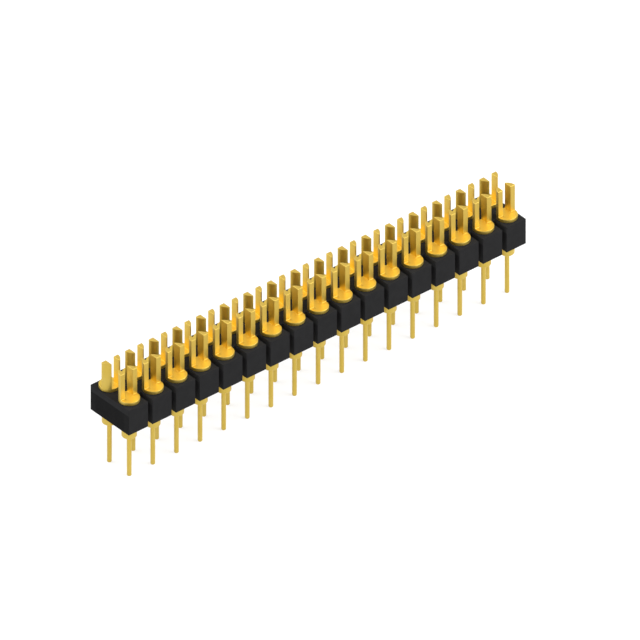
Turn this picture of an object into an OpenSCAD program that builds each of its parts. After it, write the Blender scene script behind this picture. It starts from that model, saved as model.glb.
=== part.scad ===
/* [Strip] */
// Contacts in each of the two rows
positions = 17; // [2:1:29]
// Spacing of the contacts along a row
pitch = 2.54; // [2.4:0.01:4]
// Distance between the axes of the two rows
row_spacing = 2.54; // [2.4:0.01:10]

/* [Insulator] */
// Height of the moulded insulator
insulator_h = 2.5; // [1:0.1:6]
// Material beyond the axes of the first and last contacts
end_margin = 1.04; // [1:0.01:3]
// Material beyond the axis of each row
side_margin = 1.2; // [1:0.01:3]
// Width of the notches between the positions
notch_w = 0.46; // [0.2:0.01:0.8]
// Depth of the notches into the long sides
notch_depth = 1.5; // [0.3:0.05:2]

/* [Contact] */
// Diameter of the slotted head and of the flange under it
head_d = 1.8; // [1.5:0.05:2.2]
// Thickness of the flange that seats on the insulator
flange_t = 0.32; // [0.1:0.01:1]
// Height of the prongs above the flange
prong_h = 2.54; // [1:0.02:5]
// Width of the solder slot between the two prongs
slot_w = 0.82; // [0.3:0.02:1.2]
// Distance from the contact's axis to the flat side of the prongs
prong_offset = 0.03; // [0:0.01:0.3]
// Diameter of the barrel that is pressed into the insulator
barrel_d = 1.28; // [1:0.02:1.4]
// Length of the barrel that stands out below the insulator
standoff = 1.1; // [0.2:0.05:3]
// Chamfer at the lower end of the barrel
barrel_chamfer = 0.08; // [0.02:0.01:0.14]
// Diameter of the solder tail
tail_d = 0.4; // [0.3:0.01:0.8]
// Length of the solder tail below the barrel
tail_l = 4; // [1:0.1:12]
// Chamfer at the tip of the tail
tip_chamfer = 0.1; // [0.02:0.01:0.14]

/* [Hidden] */
$fn = 64;
eps = 0.02;
ROWS = ["a", "b"];
function contact_name(row, i) = str("contact_", ROWS[row], i < 9 ? "0" : "", i + 1);
CONTACTS = [for (row = [0, 1]) for (i = [0 : positions - 1]) contact_name(row, i)];

insulator_l = (positions - 1) * pitch + 2 * end_margin;
insulator_w = row_spacing + 2 * side_margin;
insulator_z = tail_l + standoff;
seat_z = insulator_z + insulator_h;
flange_z = seat_z + flange_t;

function contact_x(i) = (i - (positions - 1) / 2) * pitch;
function row_y(row) = (row == 0 ? -1 : 1) * row_spacing / 2;

// Through bores for the contacts and full-height notches in both long sides
module insulator() {
    color([0.13, 0.13, 0.14])
    difference() {
        translate([-insulator_l / 2, -insulator_w / 2, insulator_z])
            cube([insulator_l, insulator_w, insulator_h]);
        for (row = [0, 1])
            for (i = [0 : positions - 1])
                translate([contact_x(i), row_y(row), insulator_z - eps])
                    cylinder(d = barrel_d, h = insulator_h + 2 * eps);
        for (side = [-1, 1])
            for (i = [0 : positions - 2])
                translate([contact_x(i) + pitch / 2, side * insulator_w / 2, insulator_z - eps])
                    translate([-notch_w / 2, -notch_depth, 0])
                        cube([notch_w, 2 * notch_depth, insulator_h + 2 * eps]);
    }
}

// One turned contact, standing on its tail, with the prongs on its +Y side
module contact() {
    color([0.83, 0.69, 0.35]) {
        rotate_extrude()
            polygon([
                [0, 0],
                [tail_d / 2 - tip_chamfer, 0],
                [tail_d / 2, tip_chamfer],
                [tail_d / 2, tail_l],
                [barrel_d / 2 - barrel_chamfer, tail_l],
                [barrel_d / 2, tail_l + barrel_chamfer],
                [barrel_d / 2, seat_z],
                [head_d / 2, seat_z],
                [head_d / 2, flange_z],
                [0, flange_z],
            ]);
        prongs();
    }
}

// Half of the head is cut away, and a slot divides the other half in two
module prongs() {
    intersection() {
        translate([0, 0, seat_z])
            cylinder(d = head_d, h = flange_t + prong_h);
        for (x = [-head_d, slot_w / 2])
            translate([x, prong_offset, seat_z])
                cube([head_d - slot_w / 2, head_d, flange_t + prong_h]);
    }
}

insulator();
for (row = [0, 1])
    for (i = [0 : positions - 1])
        translate([contact_x(i), row_y(row), 0])
                rotate([0, 0, row == 0 ? 0 : 180])
                    contact();
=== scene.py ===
import math

import bmesh
import bpy
from mathutils import Matrix, Vector


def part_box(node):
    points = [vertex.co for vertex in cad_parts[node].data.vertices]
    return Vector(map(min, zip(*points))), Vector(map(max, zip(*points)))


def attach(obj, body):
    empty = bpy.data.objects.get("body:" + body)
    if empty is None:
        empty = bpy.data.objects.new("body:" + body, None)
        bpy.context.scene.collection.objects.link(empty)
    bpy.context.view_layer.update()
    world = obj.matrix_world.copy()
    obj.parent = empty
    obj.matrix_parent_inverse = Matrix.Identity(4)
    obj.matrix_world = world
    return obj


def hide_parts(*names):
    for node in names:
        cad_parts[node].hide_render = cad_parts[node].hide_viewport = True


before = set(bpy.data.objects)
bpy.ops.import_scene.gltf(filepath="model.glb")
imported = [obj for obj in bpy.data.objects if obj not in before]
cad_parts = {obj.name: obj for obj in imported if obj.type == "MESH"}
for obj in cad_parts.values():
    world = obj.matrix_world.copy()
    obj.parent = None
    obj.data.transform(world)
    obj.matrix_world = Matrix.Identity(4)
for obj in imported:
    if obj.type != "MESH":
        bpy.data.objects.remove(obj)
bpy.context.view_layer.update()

# Lengths are in millimetres up to the point where a mesh is scaled to metres.
MM = 0.001

# The strip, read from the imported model
CONTACTS = sorted(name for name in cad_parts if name.startswith("contact_"))
insulator_low, insulator_high = (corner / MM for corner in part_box("insulator"))
contact_low, contact_high = (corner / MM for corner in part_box(CONTACTS[0]))


def axis_of(node):
    """Where a contact's axis crosses z = 0, in millimetres. Its head is a full round at the flange."""
    low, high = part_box(node)
    return Vector(((low.x + high.x) / 2, (low.y + high.y) / 2, 0)) / MM


POSITIONS = sorted({round(axis_of(name).x, 4) for name in CONTACTS})
PITCH = POSITIONS[1] - POSITIONS[0]

# One turned contact, as in the construction
HEAD_R = (contact_high.x - contact_low.x) / 2
SEAT_Z = insulator_high.z
FLANGE_T = 0.32
HEAD_TOP_Z = contact_high.z
BARREL_R = 0.64
BARREL_CHAMFER = 0.08
STANDOFF = 1.1
BARREL_Z = insulator_low.z - STANDOFF
TAIL_R = 0.2
TIP_ROUND = 0.1
SLOT_HALF = 0.41
PRONG_Y = 0.03
EDGE_ROUND = 0.03

# The insulator. The painted band is how far below its top its faces change their painted light and shade,
# and how far in from the long sides the ends do.
NOTCH_W = 0.46
NOTCH_DEPTH = 1.5
MOULDED_ROUND = 0.03
PAINTED_BAND_DEPTH = 0.6

# How finely curves are drawn, and the least angle in degrees between two faces whose edge is rounded
PRONG_STEPS = 12
SLOT_STEPS = 10
OPEN_STEPS = 38
TIP_STEPS = 5
BORE_STEPS = 72
ROUND_STEPS = 3
ROUND_ANGLE = 35

# The gold: linear colours outside; painted reflected light in the slots and on the flange's top, painted
# shade on it at the prongs' feet and on the prongs' flats, painted light on their tips, and burnished edges
# painted paler as highlights
GOLD_WARM = (0.567, 0.402, 0.066)
GOLD_LIGHT = (0.582, 0.427, 0.092)
GOLD_PAINTED_BOUNCE = (0.80, 0.525, 0.052)
GOLD_FLANGE_PAINTED_LIGHT = (0.76, 0.535, 0.082)
GOLD_FOOT_SHADE = (0.53, 0.345, 0.055)
GOLD_FLAT_SHADE = (0.525, 0.366, 0.066)
GOLD_TIP_LIGHT = (0.64, 0.44, 0.078)
GOLD_EDGE_WEAR_AND_HIGHLIGHT = (0.66, 0.49, 0.11)
GOLD_ROUGH = 0.42
GOLD_METAL = 0.85
# The lathe's feed for each turn
TURNING_PITCH = 0.05
# How far the painted reflected light in a recess is felt for, and how open a point is where that painted
# light is full and where it ends
RECESS_REACH = 1.5
OPEN_LOW = 0.35
OPEN_HIGH = 0.95
RECESS_SAMPLES = 8
# How far in front of the prongs' flats the painted shade at the foot fades out
FOOT_SHADE_REACH = 0.35
# How wide the burnished edges with their painted highlight are, how strongly they show, and how far a
# normal has turned on them
BURNISH_AND_HIGHLIGHT_REACH = 0.05
BURNISH_AND_HIGHLIGHT = 0.6
BURNISH_AND_HIGHLIGHT_START = 0.995
BURNISH_AND_HIGHLIGHT_FULL = 0.9
BURNISH_AND_HIGHLIGHT_SAMPLES = 6

# The plastic: its linear colour, and how much paler or darker each kind of face is painted than the long
# sides, as painted light and shade
PLASTIC_DARK = (0.0143, 0.0143, 0.0148)
PLASTIC_LIGHT = (0.0169, 0.0169, 0.0175)
PLASTIC_ROUGH = 0.6
PLASTIC_GLOSS = 0.02
TOP_TONE = 1.3
END_TONE = 0.53
END_SIDE_TONE = 0.67
END_BAND_TONE = 1.21
NOTCH_TONE = 1.45
NOTCH_BAND_TONE = 2.2

# How far a normal reaches along an axis where its face counts as looking along it or as looking up
LOOKS_ALONG = 0.95
LOOKS_UP = 0.9

# Most of a noise's values lie between these, and pieces read it this far apart at the most
NOISE_LOW = 0.3
NOISE_HIGH = 0.7
PIECE_SHIFT = 40.0

# The stage: the floor's half side is in metres
FLOOR_WHITE = (0.35, 0.35, 0.35)
FLOOR_GLOW = 0.65
FLOOR_ROUGH = 0.9
FLOOR_HALF = 3.0

# The radiance of the room, of the ground beyond the floor, and of a softbox on each side of the camera.
# Turns are angles from +X about +Z and rises are angles above the floor, in degrees.
ROOM_LIGHT = 0.85
GROUND_LIGHT = 1.05
HORIZON_BLUR = 0.01
SOFTBOX_SIDE = 330.0
SOFTBOX_DISTANCE = 330.0
RIGHT_LIGHT = 4.3
RIGHT_TURN = -45.0
RIGHT_RISE = 37.0
LEFT_LIGHT = 2.2
LEFT_TURN = 125.0
LEFT_RISE = 35.0

# The camera: its direction in degrees, the width in view, and what it aims at from the first contact's head
VIEW_TURN = -39.91
VIEW_DROP = 35.4
VIEW_WIDTH = 52.805
HEAD_MIDDLE_Z = 8.0
AIM_RIGHT = 15.743
AIM_UP = 6.277
CAMERA_DISTANCE = 200.0
# The far end of what the camera sees, in metres
CAMERA_FAR = 10


def arc(start, end, steps):
    """Angles from start up to, but not including, end."""
    return [start + (end - start) * k / steps for k in range(steps)]


def new_object(name, mesh):
    piece = bpy.data.objects.new(name, mesh)
    bpy.context.scene.collection.objects.link(piece)
    return piece


def modified_mesh(piece, name):
    """The piece's mesh with its modifiers applied, and the piece itself removed."""
    graph = bpy.context.evaluated_depsgraph_get()
    mesh = bpy.data.meshes.new_from_object(piece.evaluated_get(graph))
    mesh.name = name
    bpy.data.objects.remove(piece)
    return mesh


def round_edges(piece, width):
    bevel = piece.modifiers.new("rounded_edges", "BEVEL")
    bevel.width = width
    bevel.segments = ROUND_STEPS
    bevel.limit_method = "ANGLE"
    bevel.angle_limit = math.radians(ROUND_ANGLE)
    bevel.use_clamp_overlap = True
    bevel.harden_normals = True
    bevel.miter_outer = "MITER_ARC"


# ---------------------------------------------------------------- contacts

def head_angles():
    """Angles round the head, with a point at each corner of the two prongs."""
    flat = math.asin(PRONG_Y / HEAD_R)
    slot = math.acos(SLOT_HALF / HEAD_R)
    return {
        "right": arc(flat, slot, PRONG_STEPS),
        "slot": arc(slot, math.pi - slot, SLOT_STEPS),
        "left": arc(math.pi - slot, math.pi - flat, PRONG_STEPS),
        "open": arc(math.pi - flat, math.tau + flat, OPEN_STEPS),
    }


def contact_profile():
    """Radius and height up the turned body, from the tail's tip to the flange's top."""
    points = []
    for k in range(TIP_STEPS + 1):
        turn = math.pi / 2 * k / TIP_STEPS
        points.append((TAIL_R - TIP_ROUND + TIP_ROUND * math.sin(turn), TIP_ROUND * (1 - math.cos(turn))))
    points += [
        (TAIL_R, BARREL_Z),
        (BARREL_R - BARREL_CHAMFER, BARREL_Z),
        (BARREL_R, BARREL_Z + BARREL_CHAMFER),
        (BARREL_R, SEAT_Z),
        (HEAD_R, SEAT_Z),
        (HEAD_R, SEAT_Z + FLANGE_T),
    ]
    return points


def contact_mesh():
    """A contact on the Z axis, with its two prongs on the +Y side."""
    parts = head_angles()
    angles = parts["right"] + parts["slot"] + parts["left"] + parts["open"]
    bm = bmesh.new()

    def ring(radius, z):
        return [bm.verts.new((radius * math.cos(a), radius * math.sin(a), z)) for a in angles]

    rings = [ring(r, z) for r, z in contact_profile()]
    bm.faces.new(list(reversed(rings[0])))
    for below, above in zip(rings, rings[1:]):
        for k in range(len(angles)):
            j = (k + 1) % len(angles)
            bm.faces.new((below[k], below[j], above[j], above[k]))

    rim = rings[-1]
    n_right = len(parts["right"])
    n_slot = len(parts["slot"])
    n_left = len(parts["left"])
    slot_start = n_right
    left_start = n_right + n_slot
    open_start = left_start + n_left
    flange_z = SEAT_Z + FLANGE_T
    inner = {
        "right": bm.verts.new((SLOT_HALF, PRONG_Y, flange_z)),
        "left": bm.verts.new((-SLOT_HALF, PRONG_Y, flange_z)),
    }
    # what is left of the flange's top between and beside the prongs
    floor = rim[slot_start:left_start + 1] + [inner["left"]] + rim[open_start:] + [rim[0], inner["right"]]
    bm.faces.new(floor)
    for side, arc_rim in (("right", rim[:slot_start + 1]), ("left", rim[left_start:open_start + 1])):
        foot = arc_rim + [inner[side]]
        top = [bm.verts.new((v.co.x, v.co.y, HEAD_TOP_Z)) for v in foot]
        for k in range(len(foot)):
            j = (k + 1) % len(foot)
            bm.faces.new((foot[k], foot[j], top[j], top[k]))
        bm.faces.new(top)
    bmesh.ops.recalc_face_normals(bm, faces=bm.faces)
    mesh = bpy.data.meshes.new("turned_contact")
    bm.to_mesh(mesh)
    bm.free()
    mesh.shade_smooth()
    draft = new_object("draft", mesh)
    round_edges(draft, EDGE_ROUND)
    result = modified_mesh(draft, "turned_contact")
    result.transform(Matrix.Scale(MM, 4))
    return result


# ---------------------------------------------------------------- insulator

def side_outline(y, outward, xs):
    """Points along one long side in the order of xs, going into each notch on the way."""
    points = []
    for x in xs:
        near = -NOTCH_W / 2 if xs[0] < xs[-1] else NOTCH_W / 2
        points += [(x + near, y), (x + near, y - outward * NOTCH_DEPTH)]
        points += [(x - near, y - outward * NOTCH_DEPTH), (x - near, y)]
    return points


def insulator_outline():
    low, high = insulator_low, insulator_high
    notches = [x + PITCH / 2 for x in POSITIONS[:-1]]
    points = [(low.x, low.y)] + side_outline(low.y, -1, notches) + [(high.x, low.y)]
    points += [(high.x, high.y)] + side_outline(high.y, 1, notches[::-1]) + [(low.x, high.y)]
    return points


def bore_cutters():
    """One mesh that holds a rod for each contact's bore."""
    bm = bmesh.new()
    for name in CONTACTS:
        place = axis_of(name) + Vector((0, 0, (insulator_low.z + insulator_high.z) / 2))
        bmesh.ops.create_cone(
            bm, cap_ends=True, segments=BORE_STEPS, radius1=BARREL_R, radius2=BARREL_R,
            depth=2 * (insulator_high.z - insulator_low.z), matrix=Matrix.Translation(place))
    mesh = bpy.data.meshes.new("bore_cutters")
    bm.to_mesh(mesh)
    bm.free()
    return new_object("bore_cutters", mesh)


def insulator_mesh():
    bm = bmesh.new()
    outline = insulator_outline()
    bottom = [bm.verts.new((x, y, insulator_low.z)) for x, y in outline]
    top = [bm.verts.new((x, y, insulator_high.z)) for x, y in outline]
    bm.faces.new(list(reversed(bottom)))
    bm.faces.new(top)
    for k in range(len(outline)):
        j = (k + 1) % len(outline)
        bm.faces.new((bottom[k], bottom[j], top[j], top[k]))
    bmesh.ops.recalc_face_normals(bm, faces=bm.faces)
    mesh = bpy.data.meshes.new("insulator_block")
    bm.to_mesh(mesh)
    bm.free()
    mesh.shade_smooth()
    draft = new_object("draft", mesh)
    round_edges(draft, MOULDED_ROUND)
    cutters = bore_cutters()
    cut = draft.modifiers.new("bores", "BOOLEAN")
    cut.operation = "DIFFERENCE"
    cut.object = cutters
    cut.solver = "EXACT"
    result = modified_mesh(draft, "moulded_insulator")
    bpy.data.objects.remove(cutters)
    result.transform(Matrix.Scale(MM, 4))
    return result


# ---------------------------------------------------------------- materials

def node_material(name):
    material = bpy.data.materials.new(name)
    material.use_nodes = True
    return material, material.node_tree, material.node_tree.nodes["Principled BSDF"]


def math_node(tree, operation, a, b):
    """A math node on two sockets or numbers, and its result."""
    node = tree.nodes.new("ShaderNodeMath")
    node.operation = operation
    for slot, value in zip(node.inputs, (a, b)):
        if isinstance(value, (int, float)):
            slot.default_value = value
        else:
            tree.links.new(value, slot)
    return node.outputs[0]


def noise(tree, per_mm, detail, seed):
    """Noise on the piece's own coordinates, which differs from piece to piece."""
    place = tree.nodes.new("ShaderNodeTexCoord")
    info = tree.nodes.new("ShaderNodeObjectInfo")
    node = tree.nodes.new("ShaderNodeTexNoise")
    node.noise_dimensions = "4D"
    node.inputs["Scale"].default_value = per_mm / MM
    node.inputs["Detail"].default_value = detail
    tree.links.new(place.outputs["Object"], node.inputs["Vector"])
    shift = math_node(tree, "MULTIPLY", info.outputs["Random"], PIECE_SHIFT)
    tree.links.new(math_node(tree, "ADD", shift, seed), node.inputs["W"])
    return node.outputs["Fac"]


def spread(tree, value, low, high):
    """Noise values around one half, stretched to run from low to high."""
    node = tree.nodes.new("ShaderNodeMapRange")
    node.inputs["From Min"].default_value = NOISE_LOW
    node.inputs["From Max"].default_value = NOISE_HIGH
    node.inputs["To Min"].default_value = low
    node.inputs["To Max"].default_value = high
    tree.links.new(value, node.inputs["Value"])
    return node.outputs["Result"]


def blend_colours(tree, factor, first, second):
    node = tree.nodes.new("ShaderNodeMix")
    node.data_type = "RGBA"
    tree.links.new(factor, node.inputs["Factor"])
    for name, colour in (("A", first), ("B", second)):
        slot = next(i for i in node.inputs if i.name == name and i.type == "RGBA")
        if isinstance(colour, tuple):
            slot.default_value = (*colour, 1)
        else:
            tree.links.new(colour, slot)
    return next(o for o in node.outputs if o.type == "RGBA")


def bump(tree, height, depth_mm):
    node = tree.nodes.new("ShaderNodeBump")
    node.inputs["Distance"].default_value = depth_mm * MM
    tree.links.new(height, node.inputs["Height"])
    return node.outputs["Normal"]


def parts_of(tree, vector):
    """The X, Y and Z of a vector socket."""
    node = tree.nodes.new("ShaderNodeSeparateXYZ")
    tree.links.new(vector, node.inputs[0])
    return node.outputs["X"], node.outputs["Y"], node.outputs["Z"]


def own_place(tree):
    """Where a point is in the piece's own coordinates."""
    return parts_of(tree, tree.nodes.new("ShaderNodeTexCoord").outputs["Object"])


def facing(tree):
    """Which way a face looks."""
    return parts_of(tree, tree.nodes.new("ShaderNodeNewGeometry").outputs["True Normal"])


def ramp(tree, value, start, end):
    """Zero at the start, one at the end, and rising evenly between them."""
    node = tree.nodes.new("ShaderNodeMapRange")
    node.inputs["From Min"].default_value = start
    node.inputs["From Max"].default_value = end
    tree.links.new(value, node.inputs["Value"])
    return node.outputs["Result"]


def size_of(tree, value):
    return math_node(tree, "ABSOLUTE", value, 0.0)


def above(tree, value, limit):
    """One where the value is over the limit, and zero elsewhere."""
    return math_node(tree, "GREATER_THAN", value, limit)


def opposite(tree, mask):
    return math_node(tree, "SUBTRACT", 1.0, mask)


def all_of(tree, *masks):
    product = masks[0]
    for mask in masks[1:]:
        product = math_node(tree, "MULTIPLY", product, mask)
    return product


def edge_mask(tree):
    """One along the edges and zero on the faces between them."""
    corner = tree.nodes.new("ShaderNodeBevel")
    corner.samples = BURNISH_AND_HIGHLIGHT_SAMPLES
    corner.inputs["Radius"].default_value = BURNISH_AND_HIGHLIGHT_REACH * MM
    place = tree.nodes.new("ShaderNodeNewGeometry")
    dot = tree.nodes.new("ShaderNodeVectorMath")
    dot.operation = "DOT_PRODUCT"
    tree.links.new(corner.outputs["Normal"], dot.inputs[0])
    tree.links.new(place.outputs["True Normal"], dot.inputs[1])
    return ramp(tree, dot.outputs["Value"], BURNISH_AND_HIGHLIGHT_START, BURNISH_AND_HIGHLIGHT_FULL)


def turning_marks(tree):
    """Fine rings round the piece's axis, which the lathe leaves on the sides and on the flange."""
    x, y, z = own_place(tree)
    x_squared = math_node(tree, "MULTIPLY", x, x)
    y_squared = math_node(tree, "MULTIPLY", y, y)
    radius = math_node(tree, "SQRT", math_node(tree, "ADD", x_squared, y_squared), 0.0)
    travel = math_node(tree, "ADD", radius, z)
    turns = math_node(tree, "MULTIPLY", travel, math.tau / (TURNING_PITCH * MM))
    wave = math_node(tree, "SINE", turns, 0.0)
    strength = spread(tree, noise(tree, per_mm=3.0, detail=2.0, seed=5.0), low=0.1, high=0.5)
    return math_node(tree, "MULTIPLY", wave, strength)


def bounce_light_mask(tree):
    """Where reflected light is painted: one deep in the slots and beside the prongs' feet, and zero in the
    open and on the prongs' flats.
    """
    openness = tree.nodes.new("ShaderNodeAmbientOcclusion")
    openness.only_local = True
    openness.samples = RECESS_SAMPLES
    openness.inputs["Distance"].default_value = RECESS_REACH * MM
    depth = ramp(tree, openness.outputs["AO"], OPEN_HIGH, OPEN_LOW)
    return all_of(tree, depth, opposite(tree, along_y(tree)))


def along_y(tree):
    """One where a face looks straight along Y, as the prongs' flats do."""
    return above(tree, size_of(tree, facing(tree)[1]), LOOKS_ALONG)


def painted_head_light(tree):
    """The head's faces with painted light or shade of their own, each as a mask and its colour: painted
    reflected light on the flange's top, painted shade at the prongs' feet and on their flats, painted light
    on their tips.
    """
    x, y, z = own_place(tree)
    looks_up = above(tree, facing(tree)[2], LOOKS_UP)
    on_prongs = above(tree, z, (SEAT_Z + FLANGE_T + EDGE_ROUND) * MM)
    # the painted shade at the prongs' feet fades out in front of their flats
    near = ramp(tree, y, (PRONG_Y - FOOT_SHADE_REACH) * MM, PRONG_Y * MM)
    foot = all_of(tree, near, above(tree, size_of(tree, x), SLOT_HALF * MM))
    # the flange's top is painted with reflected light, turning to painted shade at the prongs' feet
    flange_painted_light = blend_colours(tree, foot, GOLD_FLANGE_PAINTED_LIGHT, GOLD_FOOT_SHADE)
    return (
        (all_of(tree, looks_up, opposite(tree, on_prongs)), flange_painted_light),
        # the prongs' tips are painted paler, as light from above
        (all_of(tree, looks_up, on_prongs), GOLD_TIP_LIGHT),
        # the prongs' flats are painted darker, as shade
        (all_of(tree, along_y(tree), on_prongs), GOLD_FLAT_SHADE),
    )


def gold_material():
    """Gold plating over turned brass that varies a little in hue and polish, with burnished edges painted
    paler as highlights, painted reflected light in the slots and on the flange's top, painted shade at the
    prongs' feet and on their flats, and painted light on their tips.
    """
    material, tree, shader = node_material("gold_plating")
    hue = spread(tree, noise(tree, per_mm=0.9, detail=3.0, seed=1.0), low=0.0, high=1.0)
    outer = blend_colours(tree, hue, GOLD_WARM, GOLD_LIGHT)
    # reflected light is painted deep in the slots and beside the prongs' feet
    plating_and_painted_light = blend_colours(tree, bounce_light_mask(tree), outer, GOLD_PAINTED_BOUNCE)
    # painted light and shade on the flange's top, at the prongs' feet, on their tips and on their flats
    for mask, tone in painted_head_light(tree):
        plating_and_painted_light = blend_colours(tree, mask, plating_and_painted_light, tone)
    # the edges are burnished, and painted paler as a highlight
    burnish_and_highlight = math_node(tree, "MULTIPLY", edge_mask(tree), BURNISH_AND_HIGHLIGHT)
    colour = blend_colours(tree, burnish_and_highlight, plating_and_painted_light, GOLD_EDGE_WEAR_AND_HIGHLIGHT)
    tree.links.new(colour, shader.inputs["Base Color"])
    shader.inputs["Metallic"].default_value = GOLD_METAL
    polish = noise(tree, per_mm=5.0, detail=4.0, seed=2.0)
    rough = spread(tree, polish, low=GOLD_ROUGH - 0.05, high=GOLD_ROUGH + 0.05)
    tree.links.new(rough, shader.inputs["Roughness"])
    marks = math_node(tree, "ADD", turning_marks(tree), noise(tree, per_mm=16.0, detail=3.0, seed=3.0))
    tree.links.new(bump(tree, marks, depth_mm=0.002), shader.inputs["Normal"])
    return material


def painted_light_and_shade(tree):
    """How much paler or darker than the long sides a face of the insulator is painted, as painted light and
    shade.

    The top is painted paler, the ends darker and the notch walls paler against their shade. Each end and
    notch wall has a painted pale band along its top, and each end is painted a little paler near its edges
    than in its middle.
    """
    x, y, z = own_place(tree)
    across, _, up = facing(tree)
    top = above(tree, up, LOOKS_ALONG)
    cross = above(tree, size_of(tree, across), LOOKS_ALONG)
    end = above(tree, size_of(tree, x), (insulator_high.x - MOULDED_ROUND) * MM)
    notch = opposite(tree, end)
    # a paler band is painted along the top of the ends and of the notch walls, and near the long sides on
    # the ends
    high = above(tree, z, (insulator_high.z - PAINTED_BAND_DEPTH) * MM)
    low = opposite(tree, high)
    beside = above(tree, size_of(tree, y), (insulator_high.y - PAINTED_BAND_DEPTH) * MM)
    # the top is painted paler and the ends darker for how light falls, and the notch walls paler against
    # their shade
    faces = (
        (TOP_TONE, (top,)),
        (END_TONE, (cross, end, low, opposite(tree, beside))),
        (END_SIDE_TONE, (cross, end, low, beside)),
        (END_BAND_TONE, (cross, end, high)),
        (NOTCH_TONE, (cross, notch, low)),
        (NOTCH_BAND_TONE, (cross, notch, high)),
    )
    tone = 1.0
    for level, masks in faces:
        change = math_node(tree, "MULTIPLY", all_of(tree, *masks), level - 1.0)
        tone = math_node(tree, "ADD", change, tone)
    return tone


def plastic_material():
    """Black moulded plastic with a fine grain."""
    material, tree, shader = node_material("black_plastic")
    shade = spread(tree, noise(tree, per_mm=1.5, detail=4.0, seed=1.0), low=0.0, high=1.0)
    colour = tree.nodes.new("ShaderNodeVectorMath")
    colour.operation = "SCALE"
    tree.links.new(blend_colours(tree, shade, PLASTIC_DARK, PLASTIC_LIGHT), colour.inputs[0])
    # light and shade are painted into the colour, face by face
    tree.links.new(painted_light_and_shade(tree), colour.inputs["Scale"])
    tree.links.new(colour.outputs[0], shader.inputs["Base Color"])
    polish = noise(tree, per_mm=9.0, detail=3.0, seed=2.0)
    rough = spread(tree, polish, low=PLASTIC_ROUGH - 0.06, high=PLASTIC_ROUGH + 0.06)
    tree.links.new(rough, shader.inputs["Roughness"])
    shader.inputs["Specular IOR Level"].default_value = PLASTIC_GLOSS
    waves = math_node(tree, "MULTIPLY", noise(tree, per_mm=2.0, detail=2.0, seed=4.0), 2.0)
    grain = math_node(tree, "ADD", noise(tree, per_mm=14.0, detail=4.0, seed=3.0), waves)
    tree.links.new(bump(tree, grain, depth_mm=0.006), shader.inputs["Normal"])
    return material


def floor_material():
    """A white light table: it is lit from below too, so that the strip hardly shades it."""
    material, tree, shader = node_material("light_table")
    shader.inputs["Base Color"].default_value = (*FLOOR_WHITE, 1)
    shader.inputs["Roughness"].default_value = FLOOR_ROUGH
    shader.inputs["Specular IOR Level"].default_value = 0.0
    shader.inputs["Emission Color"].default_value = (1, 1, 1, 1)
    shader.inputs["Emission Strength"].default_value = FLOOR_GLOW
    return material


# ---------------------------------------------------------------- pieces

def place_contacts(material):
    mesh = contact_mesh()
    mesh.materials.clear()
    mesh.materials.append(material)
    for node in CONTACTS:
        piece = new_object(node.replace("contact", "turned_pin"), mesh)
        piece.location = axis_of(node) * MM
        # the prongs of both rows stand on the side towards the middle of the strip
        piece.rotation_euler = (0, 0, 0 if piece.location.y < 0 else math.pi)
        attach(piece, "root")
        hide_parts(node)


def place_insulator(material):
    mesh = insulator_mesh()
    mesh.materials.clear()
    mesh.materials.append(material)
    piece = new_object("moulded_insulator", mesh)
    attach(piece, "root")
    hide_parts("insulator")


# ---------------------------------------------------------------- stage

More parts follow.
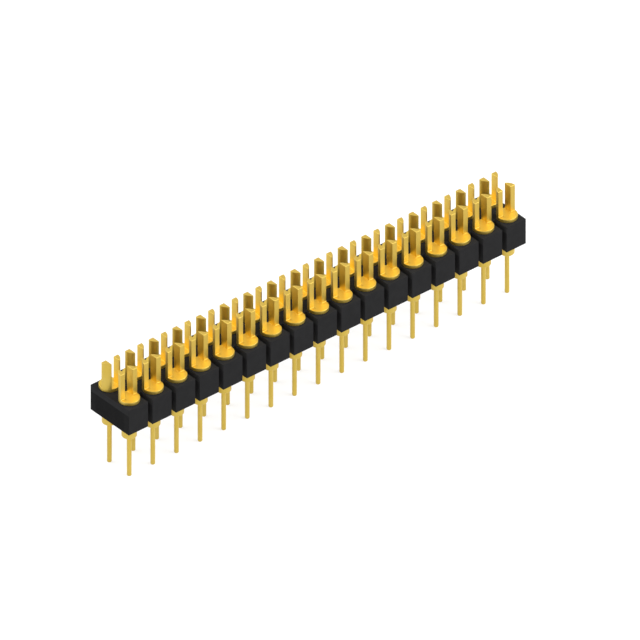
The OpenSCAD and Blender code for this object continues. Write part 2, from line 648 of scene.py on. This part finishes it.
def add_camera():
    """An orthographic camera that looks down across the strip from its left."""
    turn = math.radians(VIEW_TURN)
    drop = math.radians(VIEW_DROP)
    right = Vector((math.cos(turn), math.sin(turn), 0))
    ahead = Vector((-math.sin(turn), math.cos(turn), 0))
    look = ahead * math.cos(drop) - Vector((0, 0, math.sin(drop)))
    up = right.cross(look)
    first = axis_of("contact_a01") + Vector((0, 0, HEAD_MIDDLE_Z))
    aim = first + right * AIM_RIGHT + up * AIM_UP
    camera = bpy.data.cameras.new("camera")
    camera.type = "ORTHO"
    camera.ortho_scale = VIEW_WIDTH * MM
    camera.clip_end = CAMERA_FAR
    holder = bpy.data.objects.new("camera", camera)
    bpy.context.scene.collection.objects.link(holder)
    turned = Matrix((right, up, -look)).transposed().to_4x4()
    holder.matrix_world = Matrix.Translation((aim - look * CAMERA_DISTANCE) * MM) @ turned
    bpy.context.scene.camera = holder


def add_floor():
    mesh = bpy.data.meshes.new("floor")
    corners = [(FLOOR_HALF * x, FLOOR_HALF * y, 0) for x, y in ((-1, -1), (1, -1), (1, 1), (-1, 1))]
    mesh.from_pydata(corners, [], [(0, 1, 2, 3)])
    mesh.materials.append(floor_material())
    floor = new_object("floor", mesh)


def add_room_light():
    """An even grey room over a ground as white as the lit floor."""
    world = bpy.data.worlds.new("studio")
    bpy.context.scene.world = world
    world.use_nodes = True
    tree = world.node_tree
    rise = parts_of(tree, tree.nodes.new("ShaderNodeTexCoord").outputs["Generated"])[2]
    level = tree.nodes.new("ShaderNodeMapRange")
    level.inputs["From Min"].default_value = -HORIZON_BLUR
    level.inputs["From Max"].default_value = 0.0
    level.inputs["To Min"].default_value = GROUND_LIGHT
    level.inputs["To Max"].default_value = ROOM_LIGHT
    tree.links.new(rise, level.inputs["Value"])
    background = tree.nodes["Background"]
    background.inputs["Color"].default_value = (1, 1, 1, 1)
    tree.links.new(level.outputs["Result"], background.inputs["Strength"])


def add_softbox(name, radiance, turn, rise):
    """A square softbox that faces the strip from that azimuth and elevation, in degrees."""
    turn = math.radians(turn)
    rise = math.radians(rise)
    towards = Vector((math.cos(turn) * math.cos(rise), math.sin(turn) * math.cos(rise), math.sin(rise)))
    light = bpy.data.lights.new(name, "AREA")
    light.shape = "SQUARE"
    light.size = SOFTBOX_SIDE * MM
    light.energy = radiance * math.pi * light.size ** 2
    holder = bpy.data.objects.new(name, light)
    bpy.context.scene.collection.objects.link(holder)
    holder.location = towards * SOFTBOX_DISTANCE * MM
    holder.rotation_euler = towards.to_track_quat("Z", "Y").to_euler()


place_insulator(plastic_material())
place_contacts(gold_material())
add_floor()
add_room_light()
add_softbox("right_softbox", RIGHT_LIGHT, RIGHT_TURN, RIGHT_RISE)
add_softbox("left_softbox", LEFT_LIGHT, LEFT_TURN, LEFT_RISE)
add_camera()
bpy.context.scene.view_settings.view_transform = "Standard"
